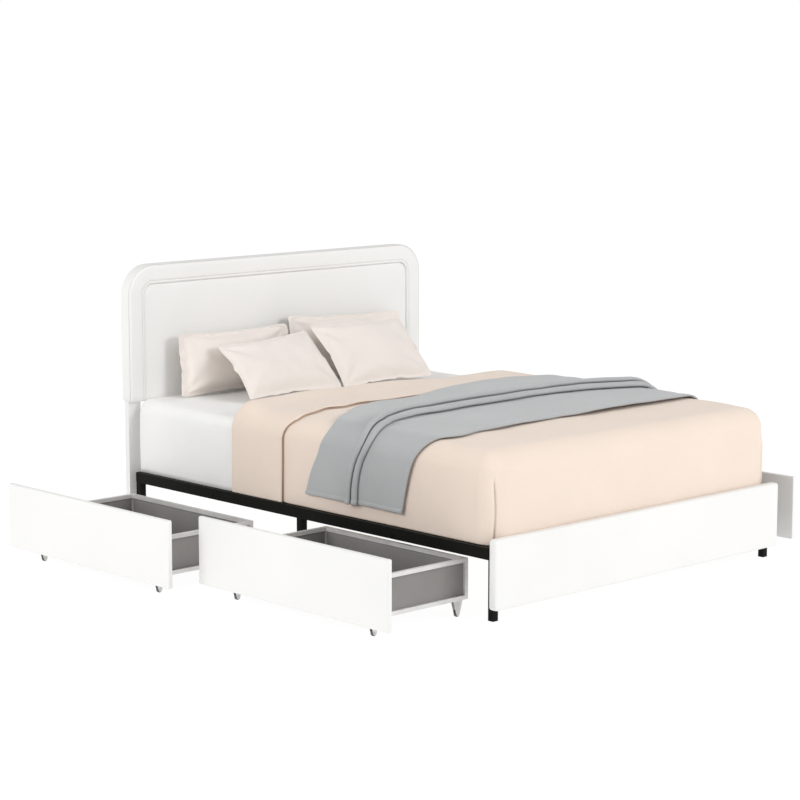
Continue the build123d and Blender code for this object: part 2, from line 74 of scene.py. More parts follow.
def set_camera(place, pitch, yaw, lens):
    """A level camera, pitch degrees down from the horizon and yaw degrees clockwise from +Y."""
    data = bpy.data.cameras.new("camera")
    data.sensor_width = 36.0
    data.lens = lens
    data.clip_start, data.clip_end = 0.1, 100.0
    cam = new_object("camera", data)
    cam.location = place
    cam.rotation_euler = (math.radians(90 - pitch), 0.0, math.radians(-yaw))
    bpy.context.scene.camera = cam


def area_light(name, place, target, size, power):
    data = bpy.data.lights.new(name, "AREA")
    data.shape = "RECTANGLE"
    data.size, data.size_y = size
    data.energy = power
    lamp = new_object(name, data)
    lamp.location = place
    aim = Vector(target) - Vector(place)
    lamp.rotation_euler = aim.to_track_quat("-Z", "Y").to_euler()


def studio():
    scene = bpy.context.scene
    scene.view_settings.view_transform = "Standard"
    world = bpy.data.worlds.new("studio")
    world.use_nodes = True
    # a white backdrop to look at, that gives a little less light than it shows
    tree = world.node_tree
    seen = tree.nodes.new("ShaderNodeLightPath").outputs["Is Camera Ray"]
    level = tree.nodes.new("ShaderNodeMapRange")
    level.inputs["To Min"].default_value = BACKDROP_LIGHT
    level.inputs["To Max"].default_value = BACKDROP_SEEN
    tree.links.new(seen, level.inputs["Value"])
    backdrop = tree.nodes["Background"]
    backdrop.inputs["Color"].default_value = (1, 1, 1, 1)
    tree.links.new(level.outputs["Result"], backdrop.inputs["Strength"])
    scene.world = world
    set_camera(**CAMERA)
    for name, lamp in LAMPS.items():
        area_light(name, *lamp)


def floor(material):
    corners = [(x * FLOOR_HALF, y * FLOOR_HALF, 0) for x, y in ((-1, -1), (1, -1), (1, 1), (-1, 1))]
    obj = new_object("floor", new_mesh("floor", corners, [(0, 1, 2, 3)]))
    obj.data.materials.append(material)


# ---- node materials
class Shader:
    """Builds one node material around a Principled shader."""

    def __init__(self, name, **values):
        self.material = bpy.data.materials.new(name)
        self.material.use_nodes = True
        self.tree = self.material.node_tree
        self.nodes, self.links = self.tree.nodes, self.tree.links
        self.out = self.nodes["Principled BSDF"]
        self.normal = None
        for key, value in values.items():
            self.out.inputs[key.replace("_", " ")].default_value = value

    def node(self, kind, settings=None, **inputs):
        made = self.nodes.new(kind)
        for key, value in (settings or {}).items():
            setattr(made, key, value)
        for key, value in inputs.items():
            socket = made.inputs[key.replace("_", " ")]
            if isinstance(value, bpy.types.NodeSocket):
                self.links.new(value, socket)
            else:
                socket.default_value = value
        return made

    def coords(self, scale=(1, 1, 1)):
        place = self.node("ShaderNodeTexCoord").outputs["Object"]
        return self.node("ShaderNodeMapping", Vector=place, Scale=scale).outputs["Vector"]

    def noise(self, vector, scale, detail=3.0):
        values = {"Scale": scale, "Detail": detail, "Roughness": 0.55}
        return self.node("ShaderNodeTexNoise", Vector=vector, **values).outputs["Fac"]

    def ramp(self, factor, *stops):
        made = self.node("ShaderNodeValToRGB", Fac=factor)
        elements = made.color_ramp.elements
        while len(elements) < len(stops):
            elements.new(0.5)
        for element, (at, colour) in zip(elements, stops):
            element.position = at
            element.color = (*colour, 1.0)
        return made.outputs["Color"]

    def span(self, factor, low, high, from_low=0.0, from_high=1.0):
        values = {"From_Min": from_low, "From_Max": from_high, "To_Min": low, "To_Max": high}
        return self.node("ShaderNodeMapRange", Value=factor, **values).outputs["Result"]

    def threads(self, vector, pitch, combine, distortion=0.0):
        """Bands of threads along X, Y and Z, each left out where the surface faces along its axis."""
        geometry = self.node("ShaderNodeNewGeometry")
        normal = self.node("ShaderNodeSeparateXYZ", Vector=geometry.outputs["Normal"])
        # at a scale of 1 a band repeats every 2 pi / 20
        values = {"Scale": 2 * math.pi / (pitch * 20.0), "Distortion": distortion}
        values.update({"Detail": 1.0, "Detail_Scale": 40.0})
        total = None
        for axis in ("X", "Y", "Z"):
            settings = {"wave_type": "BANDS", "bands_direction": axis}
            wave = self.node("ShaderNodeTexWave", settings, Vector=vector, **values)
            facing = self.node("ShaderNodeMath", {"operation": "ABSOLUTE"})
            self.links.new(normal.outputs[axis], facing.inputs[0])
            shown = self.span(facing.outputs["Value"], 1.0, 0.0, 0.55, 0.8)
            level = self.math("MULTIPLY", wave.outputs["Fac"], shown)
            total = level if total is None else self.math(combine, total, level)
        return total

    def math(self, operation, one, two):
        made = self.node("ShaderNodeMath", {"operation": operation})
        self.links.new(one, made.inputs[0])
        self.links.new(two, made.inputs[1])
        return made.outputs["Value"]

    def bump(self, height, distance, strength=1.0):
        values = {"Height": height, "Distance": distance, "Strength": strength}
        if self.normal is not None:
            values["Normal"] = self.normal
        self.normal = self.node("ShaderNodeBump", **values).outputs["Normal"]
        self.join(self.normal, "Normal")

    def join(self, output, socket):
        self.links.new(output, self.out.inputs[socket])


def shade(colour, factor):
    return tuple(min(1.0, c * factor) for c in colour)


def leather(name, colour):
    """Pebbled faux leather with a soft sheen."""
    s = Shader(name, Specular_IOR_Level=0.35)
    at = s.coords()
    broad = s.noise(at, 3.0, 2.0)
    s.join(s.ramp(broad, (0.3, shade(colour, 0.975)), (0.7, colour)), "Base Color")
    cells = s.node("ShaderNodeTexVoronoi", {"feature": "SMOOTH_F1"}, Vector=at, Scale=620.0, Smoothness=0.6)
    s.join(s.span(broad, 0.46, 0.58), "Roughness")
    s.bump(s.noise(at, 9.0, 2.0), 0.0012, 0.35)
    s.bump(cells.outputs["Distance"], 0.00035, 0.5)
    return s.material


def metal_paint(name, colour, rough, metallic=0.0, spec=0.5):
    """Powder coat: fine orange peel over steel."""
    s = Shader(name, Metallic=metallic, Specular_IOR_Level=spec)
    at = s.coords()
    broad = s.noise(at, 12.0, 3.0)
    s.join(s.ramp(broad, (0.3, shade(colour, 0.9)), (0.7, shade(colour, 1.08))), "Base Color")
    s.join(s.span(s.noise(at, 45.0, 3.0), rough - 0.07, rough + 0.07), "Roughness")
    s.bump(s.noise(at, 900.0, 2.0), 0.00012, 0.5)
    return s.material


def plated(name, colour, rough):
    """Bright plated steel, a little clouded."""
    s = Shader(name, Metallic=0.9)
    at = s.coords()
    s.join(s.ramp(s.noise(at, 60.0, 4.0), (0.35, shade(colour, 0.82)), (0.65, colour)), "Base Color")
    s.join(s.span(s.noise(at, 150.0, 4.0), rough - 0.1, rough + 0.12), "Roughness")
    s.bump(s.noise(at, 700.0, 2.0), 0.00008, 0.4)
    return s.material


def wood(name, light, dark, along, rough):
    """Straight grain along one axis, with fine pores."""
    s = Shader(name)
    stretch = [14.0] * 3
    stretch[along] = 1.1
    settings = {"wave_type": "BANDS", "bands_direction": "DIAGONAL"}
    values = {"Scale": 1.4, "Distortion": 7.0, "Detail": 4.0, "Detail_Scale": 1.6}
    rings = s.node("ShaderNodeTexWave", settings, Vector=s.coords(tuple(stretch)), **values)
    stops = (0.15, dark), (0.55, light), (0.95, shade(light, 1.06))
    s.join(s.ramp(rings.outputs["Fac"], *stops), "Base Color")
    fine = [260.0] * 3
    fine[along] = 9.0
    pores = s.noise(s.coords(tuple(fine)), 1.0, 3.0)
    s.join(s.span(pores, rough - 0.08, rough + 0.1), "Roughness")
    s.bump(pores, 0.0003, 0.5)
    return s.material


def plastic(name, colour, rough):
    """Moulded plastic or rubber, finely grained."""
    s = Shader(name)
    at = s.coords()
    s.join(s.ramp(s.noise(at, 30.0, 3.0), (0.3, shade(colour, 0.9)), (0.7, shade(colour, 1.1))), "Base Color")
    s.join(s.span(s.noise(at, 160.0, 3.0), rough - 0.06, rough + 0.08), "Roughness")
    s.bump(s.noise(at, 1300.0, 2.0), 0.00006, 0.5)
    return s.material


def weave(name, colour, thread, rough, sheen=0.25, vary=0.05, depth=0.0004, fuzz=0.0):
    """Woven cloth: crossed threads of one pitch in all three planes, so it needs no UVs."""
    s = Shader(name, Sheen_Weight=sheen, Sheen_Roughness=0.45, Specular_IOR_Level=0.2)
    at = s.coords()
    broad = s.noise(at, 4.0, 3.0)
    fine = s.noise(at, 260.0, 2.0)
    both = s.math("MULTIPLY", broad, fine)
    s.join(s.ramp(both, (0.12, shade(colour, 1 - vary)), (0.42, colour)), "Base Color")
    s.join(s.span(fine, rough - 0.05, rough + 0.05), "Roughness")
    total = s.threads(at, thread, "ADD", 0.6)
    s.bump(total, depth, 0.35)
    if fuzz:
        s.bump(s.noise(at, 90.0, 4.0), fuzz, 0.5)
    return s.material


def mesh_cloth(name, colour):
    """Coated polyester mesh: a square grid of threads with dark gaps between."""
    s = Shader(name, Specular_IOR_Level=0.3, Sheen_Weight=0.1)
    at = s.coords()
    total = s.threads(at, 0.0022, "MAXIMUM")
    broad = s.noise(at, 7.0, 3.0)
    tint = s.ramp(broad, (0.3, shade(colour, 0.93)), (0.7, shade(colour, 1.05)))
    mix = s.node("ShaderNodeMix", {"data_type": "RGBA", "blend_type": "MULTIPLY"})
    mix.inputs["Factor"].default_value = 1.0
    s.links.new(tint, mix.inputs["A"])
    s.links.new(s.ramp(total, (0.55, (0.62, 0.62, 0.62)), (0.95, (1, 1, 1))), mix.inputs["B"])
    s.join(mix.outputs["Result"], "Base Color")
    s.join(s.span(broad, 0.5, 0.62), "Roughness")
    s.bump(total, 0.0004, 0.5)
    return s.material


def floor_paint():
    """A pale floor that glows enough to leave only faint shadows."""
    glow = {"Emission_Color": (1, 1, 1, 1), "Emission_Strength": 0.95}
    base = {"Base_Color": (0.1, 0.1, 0.1, 1), "Roughness": 0.9, "Specular_IOR_Level": 0.0}
    return Shader("floor", **base, **glow).material


WHITE_LEATHER = (0.835, 0.83, 0.815)
SLOTS = {  # how each material slot is made, and from what
    "faux_leather": (leather, WHITE_LEATHER),
    "plywood": (wood, (0.72, 0.55, 0.36), (0.52, 0.36, 0.21), 2, 0.6),
    "back_cloth": (weave, (0.055, 0.055, 0.058), 0.0012, 0.8),
    "black_steel": (metal_paint, (0.010, 0.010, 0.009), 0.5, 0.0, 0.05),
    "white_steel": (metal_paint, (0.72, 0.71, 0.70), 0.36, 0.25),
    "zinc_steel": (plated, (0.66, 0.65, 0.64), 0.34),
    "mesh_fabric": (mesh_cloth, (0.29, 0.278, 0.268)),
    "wheel_rubber": (plastic, (0.10, 0.10, 0.10), 0.6),
    "slat_wood": (wood, (0.74, 0.58, 0.39), (0.60, 0.43, 0.26), 0, 0.5),
    "cap_plastic": (plastic, (0.03, 0.03, 0.032), 0.45),
    "bolt_steel": (plated, (0.35, 0.35, 0.36), 0.35),
    "mattress_cloth": (weave, (0.93, 0.925, 0.91), 0.0006, 0.75, 0.15),
    "duvet_cloth": (weave, (0.865, 0.735, 0.635), 0.0006, 0.72, 0.2),
    "throw_cloth": (weave, (0.47, 0.48, 0.485), 0.0022, 0.85, 0.35, 0.1, 0.0008, 0.0009),
    "pillow_cloth": (weave, (0.86, 0.795, 0.745), 0.0006, 0.7, 0.25),
}
MATERIALS = {name: make(name, *values) for name, (make, *values) in SLOTS.items()}


def paint_cad_nodes():
    for part in frame["record"]["subparts"]:
        obj = frame["nodes"][part["node"]]
        obj.data.materials.clear()
        obj.data.materials.append(MATERIALS[part["material_slot"]])


# ---- mesh helpers
def piece(name, verts, faces, slot, body, replaces=(), sharp=None):
    """A new smooth mesh piece with its slot's material, riding on a body and standing for CAD nodes."""
    mesh = new_mesh(name, verts, faces)
    mesh.validate()
    mesh.shade_smooth()
    if sharp:
        mesh.set_sharp_from_angle(angle=math.radians(sharp))
    obj = new_object(name, mesh)
    obj.data.materials.append(MATERIALS[slot])
    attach(obj, body)
    if replaces:
        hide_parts(*replaces)
    return obj


def smoothstep(t):
    t = np.clip(t, 0.0, 1.0)
    return t * t * (3 - 2 * t)


def ripple(points, scale, amount, seed=0.0):
    """Soft random swelling, the same for the same points."""
    shift = Vector((seed * 3.1, seed * 1.7, seed * 2.3))
    return np.array([noise.noise(Vector(p) * scale + shift) for p in points]) * amount


def graded(length, fine, step):
    """Distances from 0 to length: the listed fine ones at both ends and even steps between."""
    fine = sorted(fine)
    inner = length - 2 * fine[-1]
    count = max(1, round(inner / step))
    middle = [fine[-1] + inner * i / count for i in range(1, count)]
    return np.array(fine + middle + [length - d for d in reversed(fine)])


def slab(width, height, depth, corner, edge, back_edge, crown, seed):
    """An upholstered board: (u, v, w) points and faces, w from the front face to the back."""
    past = max(corner, edge * 1.3)
    near = [0.0, 0.1 * edge, 0.3 * edge, 0.6 * edge, edge, 0.55 * (edge + corner), past, past + 0.02]
    us, vs = graded(width, near, PAD_STEP), graded(height, near, PAD_STEP)
    grid = np.array([(u, v) for v in vs for u in us])
    centre = np.clip(grid, corner, (width - corner, height - corner))
    off = (grid - centre) / corner
    a, b = off[:, 0], off[:, 1]
    turned = np.column_stack((a * np.sqrt(1 - b * b / 2), b * np.sqrt(1 - a * a / 2)))
    both = (np.abs(a) > 0) & (np.abs(b) > 0)
    flat = np.where(both[:, None], centre + turned * corner, grid)
    from_sides = np.minimum(flat[:, 0], width - flat[:, 0])
    from_ends = np.minimum(flat[:, 1], height - flat[:, 1])
    from_corner = corner - np.linalg.norm(flat - centre, axis=1)
    inward = np.where(both, from_corner, np.minimum(from_sides, from_ends))

    def face(edge_radius, swell, phase):
        d = np.clip(edge_radius - inward, 0, edge_radius)
        drop = edge_radius - np.sqrt(np.maximum(edge_radius**2 - d**2, 0))
        puff = swell * (1 - np.exp(-inward / 0.035))
        at = np.column_stack((flat, np.full(len(flat), phase)))
        wave = ripple(at, 5.0, 0.0006, seed) if swell else 0.0
        return drop - puff + wave * (inward > edge_radius)

    nu, nv = len(us), len(vs)
    front = np.column_stack((flat, face(edge, crown, 0.0)))
    back = np.column_stack((flat, depth - face(back_edge, 0.0, 9.0)))
    faces = []
    for j in range(nv - 1):
        for i in range(nu - 1):
            k = j * nu + i
            faces.append((k, k + 1, k + nu + 1, k + nu))
            faces.append(tuple(len(front) + q for q in (k, k + nu, k + nu + 1, k + 1)))
    rim = list(range(nu)) + [j * nu + nu - 1 for j in range(1, nv)]
    rim += [(nv - 1) * nu + i for i in range(nu - 2, -1, -1)] + [j * nu for j in range(nv - 2, 0, -1)]
    for p, q in zip(rim, rim[1:] + rim[:1]):
        faces.append((q, p, len(front) + p, len(front) + q))
    return np.vstack((front, back)), faces


def box_skin(lo, hi, radius, lines, skip=()):
    """A rounded box as one skin: base points, outward normals and faces, on given grid lines per axis."""
    lo, hi = np.array(lo), np.array(hi)
    index, verts, faces = {}, [], []

    def vertex(p):
        key = tuple(np.round(p, 6))
        if key not in index:
            index[key] = len(verts)
            verts.append(p)
        return index[key]

    for axis in range(3):
        for side, level in ((-1, lo[axis]), (1, hi[axis])):
            if (axis, side) in skip:
                continue
            one, two = [k for k in range(3) if k != axis]
            for i in range(len(lines[one]) - 1):
                for j in range(len(lines[two]) - 1):
                    quad = []
                    for di, dj in ((0, 0), (1, 0), (1, 1), (0, 1)):
                        p = np.zeros(3)
                        p[axis], p[one], p[two] = level, lines[one][i + di], lines[two][j + dj]
                        quad.append(vertex(p))
                    flip = (side > 0) != (axis == 1)
                    faces.append(tuple(quad if flip else quad[::-1]))
    verts = np.array(verts)
    inner_lo, inner_hi = lo + radius, hi - radius
    for axis, side in skip:
        (inner_lo if side < 0 else inner_hi)[axis] = (lo if side < 0 else hi)[axis]
    core = np.clip(verts, inner_lo, inner_hi)
    normal = verts - core
    normal /= np.maximum(np.linalg.norm(normal, axis=1), 1e-9)[:, None]
    return core + normal * radius, normal, faces


def rounding(lo, hi, radius, step, arc=7, open_lo=False, open_hi=False, extra=()):
    """Grid lines for box_skin: evenly turned over each rounded edge, even between, with extra ones."""
    turn = [radius * (1 - math.tan(math.radians(45 * (1 - k / (arc - 1))))) for k in range(arc)]
    start = [0.0] if open_lo else turn
    end = [0.0] if open_hi else turn
    a, b = lo + start[-1], hi - end[-1]
    count = max(1, round((b - a) / step))
    middle = [a + (b - a) * i / count for i in range(1, count)]
    lines = [lo + t for t in start] + middle + [hi - t for t in reversed(end)]
    lines = [x for x in lines if all(abs(x - e) > step * 0.3 for e in extra) or x in (lo, hi)]
    return sorted(set(round(x, 6) for x in lines + list(extra)))


def grid_faces(rows, count):
    """Faces of a grid of points, given row by row with count points in each."""
    corners = [r * count + i for r in range(rows - 1) for i in range(count - 1)]
    return [(k, k + count, k + count + 1, k + 1) for k in corners]


def open_edges(faces):
    """Boundary edges of a skin, each in its face's direction."""
    # a dict and not a set, so that the edges keep their order
    seen = dict.fromkeys((p, q) for f in faces for p, q in zip(f, f[1:] + f[:1]))
    return [(p, q) for p, q in seen if (q, p) not in seen]


def shell(outer, inner, faces):
    """Closes a skin and its copy into one thick cover."""
    n = len(outer)
    made = list(faces) + [tuple(n + i for i in reversed(f)) for f in faces]
    made += [(q, p, n + p, n + q) for p, q in open_edges(faces)]
    return np.vstack((outer, inner)), made


def loft(rings):
    """Joins closed rings of points into a tube, with flat caps."""
    count = len(rings[0])
    faces = []
    for r in range(len(rings) - 1):
        a, b = r * count, (r + 1) * count
        for i in range(count):
            j = (i + 1) % count
            faces.append((a + i, a + j, b + j, b + i))
    last = (len(rings) - 1) * count
    faces.append(tuple(reversed(range(count))))
    faces.append(tuple(last + i for i in range(count)))
    return np.vstack(rings), faces


# ---- headboard
def border_section(band, depth):
    """Across the border: distance in from its outer edge, and depth behind its front face."""
    outer_side = [(0.0, depth), (0.0, 0.036), (-0.0012, 0.022), (-0.0008, 0.012), (0.0002, 0.0092)]
    outer_seam = [(0.0018, 0.0052), (0.0034, 0.0092), (0.0050, 0.0042), (0.0078, 0.0014)]
    roll = [(0.014, -0.0004), (0.024, -0.0016), (0.038, -0.0021), (0.052, -0.0016), (0.061, -0.0002)]
    inner_seam = [(0.0655, 0.0010), (0.068, 0.0030), (0.0692, 0.0048), (0.0704, 0.0030), (0.0732, 0.0016)]
    inner_lip = [(0.0762, 0.0020), (0.0784, 0.0040)]
    inner_side = [(band - 0.0008, 0.0056), (band, 0.0072), (band, depth)]
    return outer_side + outer_seam + roll + inner_seam + inner_lip + inner_side


def border_stations(half, base, top, corner):
    """Points and inward directions along the arch, from one foot to the other, and how far each is
    from a foot's rounding."""
    side, across = top - corner - base, 2 * (half - corner)
    arc_steps, top_steps, foot_round = 24, 35, 0.012
    left = []
    for d in graded(side, [0.0, 0.002, 0.006, foot_round], 0.02)[:-1]:
        left.append(((-half, base + d), (1, 0), min(1.0, d / foot_round)))
    for k in range(arc_steps):
        a = math.pi * k / (2 * arc_steps)
        x, z = corner - corner * math.cos(a), corner * math.sin(a)
        left.append(((x - half, top - corner + z), (math.cos(a), -math.sin(a)), 1.0))
    for k in range(top_steps):
        left.append(((corner - half + across * k / (2 * top_steps), top), (0, -1), 1.0))
    right = [((-x, z), (-nx, nz), end) for (x, z), (nx, nz), end in reversed(left)]
    return left + [((0.0, top), (0, -1), 1.0)] + right


def headboard():
    """The padded border round the arch, and the flat pad inside it."""
    lo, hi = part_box("headboard_border")
    panel_lo, panel_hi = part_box("headboard_panel")
    front, depth = lo.y, hi.y - lo.y
    band = hi.x - panel_hi.x
    inner_corner, foot_chamfer = 0.045, 0.007
    section = border_section(band, depth)
    rings = []
    for (x, z), (nx, nz), end in border_stations(hi.x, lo.z, hi.z, band + inner_corner):
        ring = []
        swell = 0.0007 * noise.noise(Vector((x * 7, z * 7, 3.0)))
        chamfer = (1 - end) * foot_chamfer
        for n, w in section:
            n2 = max(n, chamfer)
            w2 = min(max(w + (swell if 0.008 < n < 0.06 else 0.0), chamfer), depth - chamfer)
            ring.append((x + nx * n2, front + w2, z + nz * n2))
        rings.append(ring)
    verts, faces = loft([r[::-1] for r in rings])
    pad = piece("headboard_border_pad", verts, faces, "faux_leather", "bed", ["headboard_border"], sharp=70)

    # the pad runs on below the border's feet, where it is cut off square
    gap, below, crown = 0.0005, 0.044, 0.0035
    width, height = 2 * (panel_hi.x - gap), panel_hi.z - panel_lo.z - gap + below
    deep = panel_hi.y - panel_lo.y + 0.002
    verts, faces = slab(width, height, deep, corner=below, edge=0.005, back_edge=0.002, crown=crown, seed=2.0)
    placed = [
        (u - width / 2, panel_lo.y + crown + w * 0.98, max(panel_lo.z, panel_lo.z - below + v))
        for u, v, w in verts
    ]
    pad = piece("headboard_panel_pad", placed, faces, "faux_leather", "bed", ["headboard_panel"], sharp=70)


def headboard_dust_cloth():
    """Thin cloth stapled over the back, pulled into small puckers at the staples."""
    lo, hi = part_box("headboard_back")
    pitch, thick, corner, clear = 0.06, 0.0012, 0.11, 0.0004
    us = np.linspace(lo.x, hi.x, 150)
    vs = np.linspace(lo.z, hi.z, 60)
    outer = []
    for z in vs:
        inset = corner - math.sqrt(max(corner**2 - max(0.0, z - (hi.z - corner)) ** 2, 0.0))
        for x in us:
            px = x * (1 - inset / hi.x)
            rim = min(hi.x - inset - abs(px), z - lo.z, hi.z - z)
            around = math.atan2(z - 0.8, px) * 0.9 + (px + z) / pitch * math.pi
            pucker = 0.0022 * math.exp(-rim / 0.018) * (0.5 + 0.5 * math.cos(around))
            slack = 0.003 * noise.noise(Vector((px * 3, z * 3, 7.0))) * min(1.0, rim / 0.05)
            outer.append((px, hi.y + clear + pucker + abs(slack), z))
    outer = np.array(outer)
    verts, faces = shell(outer, outer - np.array((0, thick, 0)), grid_faces(len(vs), len(us)))
    cloth = piece("headboard_dust_cloth", verts, faces, "back_cloth", "bed", ["headboard_back"])


# ---- footboard and drawer fronts
def footboard():
    lo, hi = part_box("footboard_cover")
    wide, deep, high = hi - lo
    shape = {"corner": 0.014, "edge": 0.008, "back_edge": 0.003, "crown": 0.002}
    verts, faces = slab(wide, high, deep, **shape, seed=4.0)
    placed = [(lo.x + u, lo.y + w, lo.z + v) for u, v, w in verts]
    pad = piece("footboard_pad", placed, faces, "faux_leather", "bed", ["footboard_cover"], sharp=70)


def drawer_front(drawer, seed):
    """The padded front, with its face towards whichever side its drawer comes out of."""
    node = f"{drawer}_front_cover"
    lo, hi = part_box(node)
    deep, wide, high = hi - lo
    shape = {"corner": 0.006, "edge": 0.005, "back_edge": 0.003, "crown": 0.0012}
    verts, faces = slab(wide, high, deep, **shape, seed=seed)
    if lo.x < 0:
        placed = [(lo.x + w, hi.y - u, lo.z + v) for u, v, w in verts]
    else:
        placed = [(hi.x - w, lo.y + u, lo.z + v) for u, v, w in verts]
    pad = piece(f"{drawer}_front_pad", placed, faces, "faux_leather", f"{drawer}_drawer", [node], sharp=70)


def drawer_liner(drawer, seed):
    """A sewn bin of coated mesh, stretched between the middles of the frame's tubes."""
    node = f"{drawer}_liner"
    lo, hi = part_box(node)
    half_tube = abs(lo.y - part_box(f"{drawer}_frame")[0].y) / 2
    lo, hi = lo - Vector((half_tube, half_tube, 0)), hi + Vector((half_tube, half_tube, 0))
    hi.z -= half_tube
    radius, thick = 0.006, 0.0012
    span = hi - lo
    lines = [rounding(lo[k], hi[k], radius, 0.022, 5, open_hi=(k == 2)) for k in range(3)]
    skin, normal, faces = box_skin(lo, hi, radius, lines, skip=[(2, 1)])
    centre = (lo + hi) / 2
    reach_x = 1 - np.abs(skin[:, 0] - centre.x) / (span.x / 2)
    reach_y = 1 - np.abs(skin[:, 1] - centre.y) / (span.y / 2)
    up = (skin[:, 2] - lo.z) / span.z
    floor_part = normal[:, 2] < -0.5
    along = np.where(np.abs(normal[:, 0]) > 0.7, reach_y, reach_x)
    wall = smoothstep(along * 6) * np.sin(np.pi * np.clip(up, 0, 1))
    floor_slack = 0.002 * smoothstep(reach_x * 5) * smoothstep(reach_y * 5)
    slack = np.where(floor_part, floor_slack, 0.004 * wall)
    wave = ripple(skin, 9.0, 0.0022, seed) * np.where(floor_part, 1.0, wall)
    inward = 0.001 + slack + np.abs(wave)
    outer = skin - normal * inward[:, None]
    inner = skin - normal * (inward + thick)[:, None]
    verts, faces = shell(outer, inner, faces)
    bin_ = piece(f"{drawer}_mesh_bin", verts, faces, "mesh_fabric", f"{drawer}_drawer", [node])


# ---- bedding
def mattress():
    """The mattress in its sheet: soft sides, cut off flat at the base and at the head."""
    lo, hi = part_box("mattress")
    radius, base, head = 0.05, lo.z, hi.y
    lo.z -= radius
    hi.y += radius
    lines = [rounding(lo[k], hi[k], radius, 0.025) for k in range(3)]
    skin, normal, faces = box_skin(lo, hi, radius, lines)
    side = np.sqrt(normal[:, 0] ** 2 + normal[:, 1] ** 2)
    up = (skin[:, 2] - lo.z) / (hi.z - lo.z)
    swell = 0.004 * side * np.sin(np.pi * up)
    broad = ripple(skin * np.array((1, 1, 0.5)), 6.0, 0.0022, 1.0)
    fine = ripple(skin * np.array((1, 1, 0.25)), 17.0, 0.0012, 2.0)
    soft = broad + fine * side
    verts = skin + normal * (swell + soft - 0.002)[:, None]
    verts[:, 2] = np.maximum(verts[:, 2], base)
    # clear of the duvet the sheet swells out over the rails
    bare = smoothstep((verts[:, 1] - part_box("duvet")[1].y + 0.02) / 0.04)
    verts[:, 0] += 0.0175 * bare * verts[:, 0] / hi.x
    # it meets the headboard, and rises a little towards it
    verts[:, 1] = np.minimum(verts[:, 1], head + 0.003)
    verts[:, 2] += 0.009 * smoothstep((verts[:, 1] - head + 0.25) / 0.25) * np.clip(normal[:, 2], 0, 1)
    obj = piece("mattress_with_sheet", verts, faces, "mattress_cloth", "bed", ["mattress"])


class Cover:
    """The duvet's outside: distance across is measured over its surface from the bed's middle line."""

    ROUND = 0.085
    CROWN = 0.004

    def __init__(self):
        lo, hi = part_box("duvet")
        self.half, self.top, self.foot = hi.x, hi.z, lo.y
        self.flat = self.half - self.ROUND
        self.arc = self.ROUND * math.pi / 2

    def crown(self, x, y):
        """How much the filling lifts the top."""
        inside = np.clip(1 - (np.abs(x) / self.half) ** 4, 0, 1) * smoothstep((y - self.foot) / 0.3)
        return self.CROWN * inside

    def hem(self, height):
        """Distance across at which the surface comes down to a height."""
        return self.flat + self.arc + self.top - self.ROUND - height

    def at(self, across, y, lift):
        """Points over the surface, lifted off it."""
        side = np.sign(across)
        d = np.abs(across)
        turn = np.clip((d - self.flat) / self.ROUND, 0, math.pi / 2)
        down = np.maximum(d - self.flat - self.arc, 0)
        x = np.minimum(d, self.flat) + self.ROUND * np.sin(turn)
        z = self.top - self.ROUND + self.ROUND * np.cos(turn) - down
        nx, nz = np.sin(turn), np.cos(turn)
        z = z + self.crown(x, y) * nz
        return np.column_stack((side * (x + nx * lift), y, z + nz * lift))


# over the line where the duvet is turned back: distance towards the head, how high the upper layer stands,
# the same for the sunk lower one, and how far towards the head that one is drawn in under the upper
TURN_BACK = [
    (-0.03, 0, 0, 0),
    (-0.015, 0, -0.001, 0),
    (-0.008, 0, -0.003, 0.003),
    (-0.004, 0, -0.005, 0.012),
    (-0.0015, 0, -0.006, 0.026),
    (-0.0006, 0, -0.004, 0.031),
    (0.0, 0.002, -0.001, 0.025),
    (0.0012, 0.0055, 0, -0.002),
    (0.004, 0.009, 0, -0.003),
    (0.009, 0.0105, 0, 0),
    (0.018, 0.010, 0, 0),
]
# how the line wanders: place across the bed, and shift along it
TURN_PATH = [
    (-0.78, -0.02), (-0.74, -0.055), (-0.64, -0.026), (-0.55, 0.004), (-0.48, -0.022), (-0.37, 0.002),
    (0.2, 0.0),
]
TURN_FROM_HEAD = 0.307
DUVET_CLEAR = 0.003  # left between the duvet's inside and the mattress


def duvet_lines(lo, hi, radius, turned):
    """Grid lines along each axis, close together where the duvet is turned back, hemmed or pleated."""
    turn_lines = [turned + row[0] for row in TURN_BACK]
    head_lines = [hi.y - d for d in (0.0006, 0.003, 0.007, 0.013, 0.021, 0.032, 0.046)]
    hem_lines = [lo.z + d for d in (0.0012, 0.004, 0.008, 0.014, 0.022)]
    angles = (44.5, 43.5, 42.6, 41.8, 41, 40.2, 39.4, 38.6, 37.4, 35)
    pleat = [lo.x + radius * (1 - math.tan(math.radians(a))) for a in angles]
    return [
        rounding(lo.x, hi.x, radius, 0.02, 11, extra=pleat + [-x for x in pleat]),
        rounding(lo.y, hi.y, radius, 0.02, 11, open_hi=True, extra=turn_lines + head_lines),
        rounding(lo.z, hi.z, radius, 0.02, 11, open_lo=True, extra=hem_lines),
    ]


def turned_back(skin, up, turned):
    """The layer turned back at the head: how far it stands out, and its shift along the bed."""
    step, lip, sunk, tuck = np.array(TURN_BACK, float).T
    d = skin[:, 1] - turned
    under_throw = 1 - 0.3 * smoothstep((skin[:, 0] - 0.05) / 0.2)
    out = np.interp(d, step, lip) * under_throw + np.interp(d, step, sunk)
    wobble = ripple(np.column_stack((skin[:, 0], skin[:, 2], np.zeros(len(skin)))), 4.0, 0.005, 5.0)
    path = np.interp(skin[:, 0], *np.array(TURN_PATH).T) * up
    return out, np.interp(d, step, tuck) + (wobble + path) * np.exp(-((d / 0.11) ** 2))


